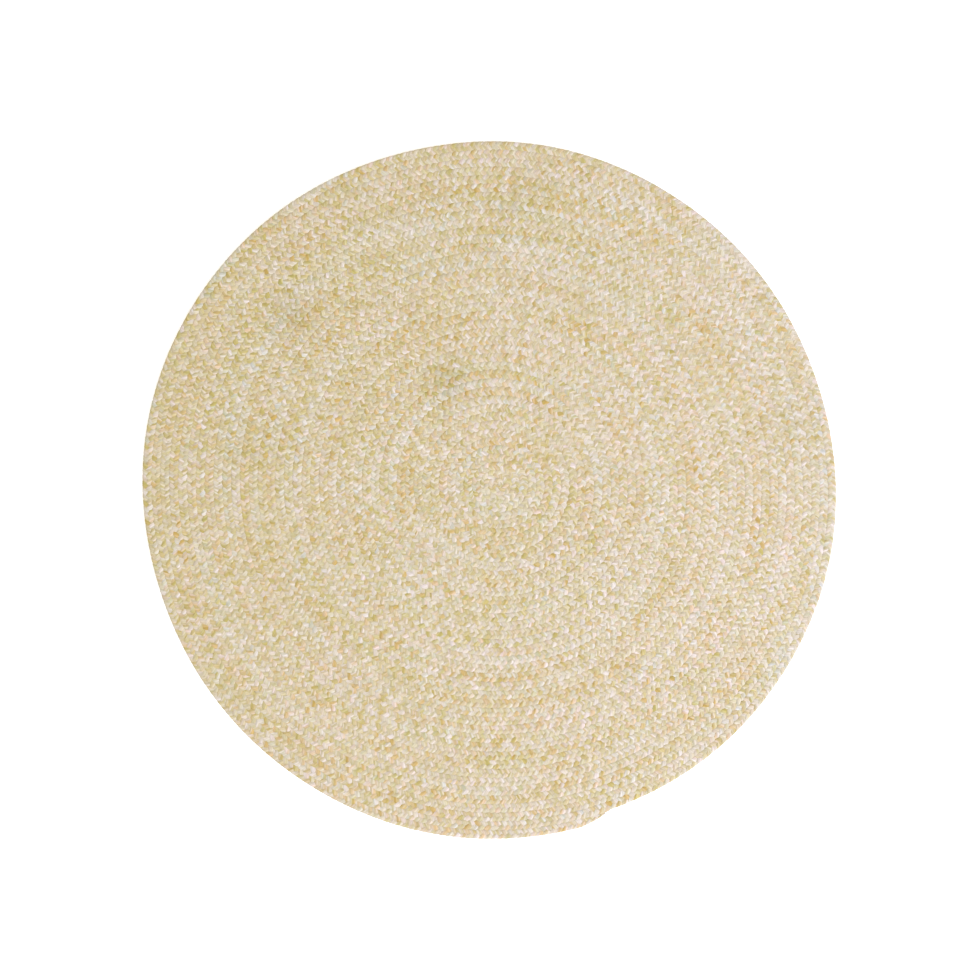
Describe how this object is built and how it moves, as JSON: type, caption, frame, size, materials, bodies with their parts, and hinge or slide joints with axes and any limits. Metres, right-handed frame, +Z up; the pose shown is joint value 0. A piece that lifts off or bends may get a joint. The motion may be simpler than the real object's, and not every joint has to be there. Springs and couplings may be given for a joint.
{
  "type": "round braided rug",
  "caption": "Round flat rug of one thick three-strand braid wound outwards in a spiral and sewn row to row, with rounded rows and a tapered end at the edge.",
  "frame": {"origin": "on the flat underside, under the middle of the outline; the coil's own middle lies 19 mm from it", "axes": "+Z up, out of the rug's upper face; +X to the right and +Y away as seen from above with the braid's end near the bottom edge, a little to the right"},
  "size_m": [1.8298, 1.8399, 0.011],
  "materials": {
    "heathered_wool": "matt heathered yarn in cream, oatmeal and light straw, plaited in three strands"
  },
  "bodies": {
    "root": {"wound_braid": "heathered_wool"}
  },
  "joints": []
}
